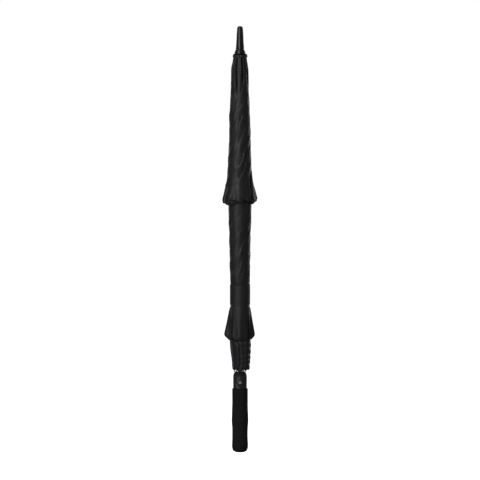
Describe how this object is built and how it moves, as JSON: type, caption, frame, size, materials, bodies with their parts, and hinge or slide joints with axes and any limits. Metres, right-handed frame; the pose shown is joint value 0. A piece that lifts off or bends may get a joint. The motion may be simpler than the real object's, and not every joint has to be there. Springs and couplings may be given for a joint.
{
  "type": "golf umbrella",
  "caption": "Closed stick umbrella with a vented double canopy on folding ribs, a sliding runner with stretchers, a closure strap, a push button and a straight foam grip.",
  "frame": {"origin": "centre of the flat end of the handle, the lowest point of the umbrella as it stands upright with the tip up", "axes": "+Z along the shaft from the handle to the tip; -Y is the side with the push button"},
  "size_m": [0.0792, 0.0792, 1],
  "materials": {
    "canopy_fabric": "woven black polyester with a soft sheen",
    "strap_fabric": "woven black polyester, doubled",
    "gloss_black": "polished black",
    "satin_handle": "satin black with a bluish cast",
    "foam": "matte closed-cell foam",
    "bright_steel": "bright plated",
    "spring_steel": "plain wire and sheet",
    "black_rib": "black coated",
    "black_shaft": "black glass fibre tube",
    "black_moulding": "black moulded"
  },
  "bodies": {
    "handle_and_shaft": {"shaft": "black_shaft", "stop_pin": "spring_steel", "ferrule": "gloss_black", "crown_collar": "gloss_black", "crown_rosette": "canopy_fabric", "top_notch": "black_moulding", "notch_wire": "spring_steel", "opening_spring": "spring_steel", "handle_collar": "satin_handle", "handle_core": "black_moulding", "grip": "foam", "end_cap": "satin_handle", "button_spring": "spring_steel"},
    "runner": {"runner": "black_moulding", "runner_wire": "spring_steel"},
    "push_button": {"push_button": "satin_handle", "latch": "spring_steel"},
    "rib_0": {"rib_inner_0": "black_rib"},
    "ribtip_0": {"rib_outer_0": "bright_steel"},
    "stretcher_0": {"stretcher_0": "black_rib"},
    "vent_gore_0": {"vent_gore_0": "canopy_fabric"},
    "main_gore_0": {"main_gore_0": "canopy_fabric"},
    "rib_1": {"rib_inner_1": "black_rib"},
    "ribtip_1": {"rib_outer_1": "bright_steel", "strap_band": "strap_fabric"},
    "stretcher_1": {"stretcher_1": "black_rib"},
    "vent_gore_1": {"vent_gore_1": "canopy_fabric"},
    "main_gore_1": {"main_gore_1": "canopy_fabric"},
    "rib_2": {"rib_inner_2": "black_rib"},
    "ribtip_2": {"rib_outer_2": "bright_steel"},
    "stretcher_2": {"stretcher_2": "black_rib"},
    "vent_gore_2": {"vent_gore_2": "canopy_fabric"},
    "main_gore_2": {"main_gore_2": "canopy_fabric"},
    "rib_3": {"rib_inner_3": "black_rib"},
    "ribtip_3": {"rib_outer_3": "bright_steel"},
    "stretcher_3": {"stretcher_3": "black_rib"},
    "vent_gore_3": {"vent_gore_3": "canopy_fabric"},
    "main_gore_3": {"main_gore_3": "canopy_fabric"},
    "rib_4": {"rib_inner_4": "black_rib"},
    "ribtip_4": {"rib_outer_4": "bright_steel"},
    "stretcher_4": {"stretcher_4": "black_rib"},
    "vent_gore_4": {"vent_gore_4": "canopy_fabric"},
    "main_gore_4": {"main_gore_4": "canopy_fabric"},
    "rib_5": {"rib_inner_5": "black_rib"},
    "ribtip_5": {"rib_outer_5": "bright_steel"},
    "stretcher_5": {"stretcher_5": "black_rib"},
    "vent_gore_5": {"vent_gore_5": "canopy_fabric"},
    "main_gore_5": {"main_gore_5": "canopy_fabric"},
    "rib_6": {"rib_inner_6": "black_rib"},
    "ribtip_6": {"rib_outer_6": "bright_steel"},
    "stretcher_6": {"stretcher_6": "black_rib"},
    "vent_gore_6": {"vent_gore_6": "canopy_fabric"},
    "main_gore_6": {"main_gore_6": "canopy_fabric"},
    "rib_7": {"rib_inner_7": "black_rib"},
    "ribtip_7": {"rib_outer_7": "bright_steel"},
    "stretcher_7": {"stretcher_7": "black_rib"},
    "vent_gore_7": {"vent_gore_7": "canopy_fabric"},
    "main_gore_7": {"main_gore_7": "canopy_fabric"},
    "strap_tab": {"strap_tab": "strap_fabric"}
  },
  "joints": [
    {"name": "runner_slide", "type": "slide", "parent": "handle_and_shaft", "child": "runner", "axis": [0, 0, 1], "range_m": [0, 0.37797], "deforming": ["opening_spring"]},
    {"name": "rib_hinge_0", "type": "hinge", "parent": "handle_and_shaft", "child": "rib_0", "pos_m": [0.01016, 0.00421, 0.925], "axis": [0.3827, -0.9239, 0], "range_deg": [0, 79.37]},
    {"name": "rib_flex_0", "type": "hinge", "parent": "rib_0", "child": "ribtip_0", "pos_m": [0.01312, 0.00543, 0.635], "axis": [-0.3827, 0.9239, 0], "range_deg": [0, 25]},
    {"name": "stretcher_hinge_0", "type": "hinge", "parent": "runner", "child": "stretcher_0", "pos_m": [0.0097, 0.00402, 0.27], "axis": [-0.3827, 0.9239, 0], "range_deg": [0, 51.03]},
    {"name": "vent_gore_fan_0", "type": "hinge", "parent": "rib_0", "child": "vent_gore_0", "pos_m": [0, 0, 0.93413], "axis": [0.849, 0.5034, -0.1609], "range_deg": [0, 44.8], "deforming": ["vent_gore_0"]},
    {"name": "main_gore_fan_0", "type": "hinge", "parent": "ribtip_0", "child": "main_gore_0", "pos_m": [0, 0, 0.98976], "axis": [0.7643, 0.6234, -0.165], "range_deg": [0, 36.77], "deforming": ["main_gore_0"]},
    {"name": "rib_hinge_1", "type": "hinge", "parent": "handle_and_shaft", "child": "rib_1", "pos_m": [0.00421, 0.01016, 0.925], "axis": [0.9239, -0.3827, 0], "range_deg": [0, 79.37]},
    {"name": "rib_flex_1", "type": "hinge", "parent": "rib_1", "child": "ribtip_1", "pos_m": [0.00543, 0.01312, 0.635], "axis": [-0.9239, 0.3827, 0], "range_deg": [0, 25], "deforming": ["strap_band"]},
    {"name": "stretcher_hinge_1", "type": "hinge", "parent": "runner", "child": "stretcher_1", "pos_m": [0.00402, 0.0097, 0.27], "axis": [-0.9239, 0.3827, 0], "range_deg": [0, 51.03]},
    {"name": "vent_gore_fan_1", "type": "hinge", "parent": "rib_1", "child": "vent_gore_1", "pos_m": [0, 0, 0.93413], "axis": [0.2444, 0.9562, -0.1609], "range_deg": [0, 44.8], "deforming": ["vent_gore_1"]},
    {"name": "main_gore_fan_1", "type": "hinge", "parent": "ribtip_1", "child": "main_gore_1", "pos_m": [0, 0, 0.98976], "axis": [0.0996, 0.9812, -0.165], "range_deg": [0, 36.77], "deforming": ["main_gore_1"]},
    {"name": "rib_hinge_2", "type": "hinge", "parent": "handle_and_shaft", "child": "rib_2", "pos_m": [-0.00421, 0.01016, 0.925], "axis": [0.9239, 0.3827, 0], "range_deg": [0, 79.37]},
    {"name": "rib_flex_2", "type": "hinge", "parent": "rib_2", "child": "ribtip_2", "pos_m": [-0.00543, 0.01312, 0.635], "axis": [-0.9239, -0.3827, 0], "range_deg": [0, 25]},
    {"name": "stretcher_hinge_2", "type": "hinge", "parent": "runner", "child": "stretcher_2", "pos_m": [-0.00402, 0.0097, 0.27], "axis": [-0.9239, -0.3827, 0], "range_deg": [0, 51.03]},
    {"name": "vent_gore_fan_2", "type": "hinge", "parent": "rib_2", "child": "vent_gore_2", "pos_m": [0, 0, 0.93413], "axis": [-0.5034, 0.849, -0.1609], "range_deg": [0, 44.8], "deforming": ["vent_gore_2"]},
    {"name": "main_gore_fan_2", "type": "hinge", "parent": "ribtip_2", "child": "main_gore_2", "pos_m": [0, 0, 0.98976], "axis": [-0.6234, 0.7643, -0.165], "range_deg": [0, 36.77], "deforming": ["main_gore_2"]},
    {"name": "rib_hinge_3", "type": "hinge", "parent": "handle_and_shaft", "child": "rib_3", "pos_m": [-0.01016, 0.00421, 0.925], "axis": [0.3827, 0.9239, 0], "range_deg": [0, 79.37]},
    {"name": "rib_flex_3", "type": "hinge", "parent": "rib_3", "child": "ribtip_3", "pos_m": [-0.01312, 0.00543, 0.635], "axis": [-0.3827, -0.9239, 0], "range_deg": [0, 25]},
    {"name": "stretcher_hinge_3", "type": "hinge", "parent": "runner", "child": "stretcher_3", "pos_m": [-0.0097, 0.00402, 0.27], "axis": [-0.3827, -0.9239, 0], "range_deg": [0, 51.03]},
    {"name": "vent_gore_fan_3", "type": "hinge", "parent": "rib_3", "child": "vent_gore_3", "pos_m": [0, 0, 0.93413], "axis": [-0.9562, 0.2444, -0.1609], "range_deg": [0, 44.8], "deforming": ["vent_gore_3"]},
    {"name": "main_gore_fan_3", "type": "hinge", "parent": "ribtip_3", "child": "main_gore_3", "pos_m": [0, 0, 0.98976], "axis": [-0.9812, 0.0996, -0.165], "range_deg": [0, 36.77], "deforming": ["main_gore_3"]},
    {"name": "rib_hinge_4", "type": "hinge", "parent": "handle_and_shaft", "child": "rib_4", "pos_m": [-0.01016, -0.00421, 0.925], "axis": [-0.3827, 0.9239, 0], "range_deg": [0, 79.37]},
    {"name": "rib_flex_4", "type": "hinge", "parent": "rib_4", "child": "ribtip_4", "pos_m": [-0.01312, -0.00543, 0.635], "axis": [0.3827, -0.9239, 0], "range_deg": [0, 25]},
    {"name": "stretcher_hinge_4", "type": "hinge", "parent": "runner", "child": "stretcher_4", "pos_m": [-0.0097, -0.00402, 0.27], "axis": [0.3827, -0.9239, 0], "range_deg": [0, 51.03]},
    {"name": "vent_gore_fan_4", "type": "hinge", "parent": "rib_4", "child": "vent_gore_4", "pos_m": [0, 0, 0.93413], "axis": [-0.849, -0.5034, -0.1609], "range_deg": [0, 44.8], "deforming": ["vent_gore_4"]},
    {"name": "main_gore_fan_4", "type": "hinge", "parent": "ribtip_4", "child": "main_gore_4", "pos_m": [0, 0, 0.98976], "axis": [-0.7643, -0.6234, -0.165], "range_deg": [0, 36.77], "deforming": ["main_gore_4"]},
    {"name": "rib_hinge_5", "type": "hinge", "parent": "handle_and_shaft", "child": "rib_5", "pos_m": [-0.00421, -0.01016, 0.925], "axis": [-0.9239, 0.3827, 0], "range_deg": [0, 79.37]},
    {"name": "rib_flex_5", "type": "hinge", "parent": "rib_5", "child": "ribtip_5", "pos_m": [-0.00543, -0.01312, 0.635], "axis": [0.9239, -0.3827, 0], "range_deg": [0, 25]},
    {"name": "stretcher_hinge_5", "type": "hinge", "parent": "runner", "child": "stretcher_5", "pos_m": [-0.00402, -0.0097, 0.27], "axis": [0.9239, -0.3827, 0], "range_deg": [0, 51.03]},
    {"name": "vent_gore_fan_5", "type": "hinge", "parent": "rib_5", "child": "vent_gore_5", "pos_m": [0, 0, 0.93413], "axis": [-0.2444, -0.9562, -0.1609], "range_deg": [0, 44.8], "deforming": ["vent_gore_5"]},
    {"name": "main_gore_fan_5", "type": "hinge", "parent": "ribtip_5", "child": "main_gore_5", "pos_m": [0, 0, 0.98976], "axis": [-0.0996, -0.9812, -0.165], "range_deg": [0, 36.77], "deforming": ["main_gore_5"]},
    {"name": "rib_hinge_6", "type": "hinge", "parent": "handle_and_shaft", "child": "rib_6", "pos_m": [0.00421, -0.01016, 0.925], "axis": [-0.9239, -0.3827, 0], "range_deg": [0, 79.37]},
    {"name": "rib_flex_6", "type": "hinge", "parent": "rib_6", "child": "ribtip_6", "pos_m": [0.00543, -0.01312, 0.635], "axis": [0.9239, 0.3827, 0], "range_deg": [0, 25]},
    {"name": "stretcher_hinge_6", "type": "hinge", "parent": "runner", "child": "stretcher_6", "pos_m": [0.00402, -0.0097, 0.27], "axis": [0.9239, 0.3827, 0], "range_deg": [0, 51.03]},
    {"name": "vent_gore_fan_6", "type": "hinge", "parent": "rib_6", "child": "vent_gore_6", "pos_m": [0, 0, 0.93413], "axis": [0.5034, -0.849, -0.1609], "range_deg": [0, 44.8], "deforming": ["vent_gore_6"]},
    {"name": "main_gore_fan_6", "type": "hinge", "parent": "ribtip_6", "child": "main_gore_6", "pos_m": [0, 0, 0.98976], "axis": [0.6234, -0.7643, -0.165], "range_deg": [0, 36.77], "deforming": ["main_gore_6"]},
    {"name": "rib_hinge_7", "type": "hinge", "parent": "handle_and_shaft", "child": "rib_7", "pos_m": [0.01016, -0.00421, 0.925], "axis": [-0.3827, -0.9239, 0], "range_deg": [0, 79.37]},
    {"name": "rib_flex_7", "type": "hinge", "parent": "rib_7", "child": "ribtip_7", "pos_m": [0.01312, -0.00543, 0.635], "axis": [0.3827, 0.9239, 0], "range_deg": [0, 25]},
    {"name": "stretcher_hinge_7", "type": "hinge", "parent": "runner", "child": "stretcher_7", "pos_m": [0.0097, -0.00402, 0.27], "axis": [0.3827, 0.9239, 0], "range_deg": [0, 51.03]},
    {"name": "vent_gore_fan_7", "type": "hinge", "parent": "rib_7", "child": "vent_gore_7", "pos_m": [0, 0, 0.93413], "axis": [0.9562, -0.2444, -0.1609], "range_deg": [0, 44.8], "deforming": ["vent_gore_7"]},
    {"name": "main_gore_fan_7", "type": "hinge", "parent": "ribtip_7", "child": "main_gore_7", "pos_m": [0, 0, 0.98976], "axis": [0.9812, -0.0996, -0.165], "range_deg": [0, 36.77], "deforming": ["main_gore_7"]},
    {"name": "strap_tab_peel", "type": "hinge", "parent": "ribtip_1", "child": "strap_tab", "pos_m": [0.01827, 0.01674, 0.372], "axis": [0, 0, -1], "range_deg": [0, 70]},
    {"name": "button_press", "type": "slide", "parent": "handle_and_shaft", "child": "push_button", "axis": [0, 1, 0], "range_m": [0, 0.0025], "stiffness_N_per_m": 900, "springref_m": -0.003, "deforming": ["button_spring"]}
  ],
  "couplings": [
    {"joint": "rib_hinge_0", "follows": "runner_slide", "rad_per_m": 3.6649},
    {"joint": "rib_flex_0", "follows": "runner_slide", "rad_per_m": 1.1544},
    {"joint": "stretcher_hinge_0", "follows": "runner_slide", "rad_per_m": 2.3565},
    {"joint": "vent_gore_fan_0", "follows": "runner_slide", "rad_per_m": 2.0687},
    {"joint": "main_gore_fan_0", "follows": "runner_slide", "rad_per_m": 1.6977},
    {"joint": "rib_hinge_1", "follows": "runner_slide", "rad_per_m": 3.6649},
    {"joint": "rib_flex_1", "follows": "runner_slide", "rad_per_m": 1.1544},
    {"joint": "stretcher_hinge_1", "follows": "runner_slide", "rad_per_m": 2.3565},
    {"joint": "vent_gore_fan_1", "follows": "runner_slide", "rad_per_m": 2.0687},
    {"joint": "main_gore_fan_1", "follows": "runner_slide", "rad_per_m": 1.6977},
    {"joint": "rib_hinge_2", "follows": "runner_slide", "rad_per_m": 3.6649},
    {"joint": "rib_flex_2", "follows": "runner_slide", "rad_per_m": 1.1544},
    {"joint": "stretcher_hinge_2", "follows": "runner_slide", "rad_per_m": 2.3565},
    {"joint": "vent_gore_fan_2", "follows": "runner_slide", "rad_per_m": 2.0687},
    {"joint": "main_gore_fan_2", "follows": "runner_slide", "rad_per_m": 1.6977},
    {"joint": "rib_hinge_3", "follows": "runner_slide", "rad_per_m": 3.6649},
    {"joint": "rib_flex_3", "follows": "runner_slide", "rad_per_m": 1.1544},
    {"joint": "stretcher_hinge_3", "follows": "runner_slide", "rad_per_m": 2.3565},
    {"joint": "vent_gore_fan_3", "follows": "runner_slide", "rad_per_m": 2.0687},
    {"joint": "main_gore_fan_3", "follows": "runner_slide", "rad_per_m": 1.6977},
    {"joint": "rib_hinge_4", "follows": "runner_slide", "rad_per_m": 3.6649},
    {"joint": "rib_flex_4", "follows": "runner_slide", "rad_per_m": 1.1544},
    {"joint": "stretcher_hinge_4", "follows": "runner_slide", "rad_per_m": 2.3565},
    {"joint": "vent_gore_fan_4", "follows": "runner_slide", "rad_per_m": 2.0687},
    {"joint": "main_gore_fan_4", "follows": "runner_slide", "rad_per_m": 1.6977},
    {"joint": "rib_hinge_5", "follows": "runner_slide", "rad_per_m": 3.6649},
    {"joint": "rib_flex_5", "follows": "runner_slide", "rad_per_m": 1.1544},
    {"joint": "stretcher_hinge_5", "follows": "runner_slide", "rad_per_m": 2.3565},
    {"joint": "vent_gore_fan_5", "follows": "runner_slide", "rad_per_m": 2.0687},
    {"joint": "main_gore_fan_5", "follows": "runner_slide", "rad_per_m": 1.6977},
    {"joint": "rib_hinge_6", "follows": "runner_slide", "rad_per_m": 3.6649},
    {"joint": "rib_flex_6", "follows": "runner_slide", "rad_per_m": 1.1544},
    {"joint": "stretcher_hinge_6", "follows": "runner_slide", "rad_per_m": 2.3565},
    {"joint": "vent_gore_fan_6", "follows": "runner_slide", "rad_per_m": 2.0687},
    {"joint": "main_gore_fan_6", "follows": "runner_slide", "rad_per_m": 1.6977},
    {"joint": "rib_hinge_7", "follows": "runner_slide", "rad_per_m": 3.6649},
    {"joint": "rib_flex_7", "follows": "runner_slide", "rad_per_m": 1.1544},
    {"joint": "stretcher_hinge_7", "follows": "runner_slide", "rad_per_m": 2.3565},
    {"joint": "vent_gore_fan_7", "follows": "runner_slide", "rad_per_m": 2.0687},
    {"joint": "main_gore_fan_7", "follows": "runner_slide", "rad_per_m": 1.6977}
  ]
}
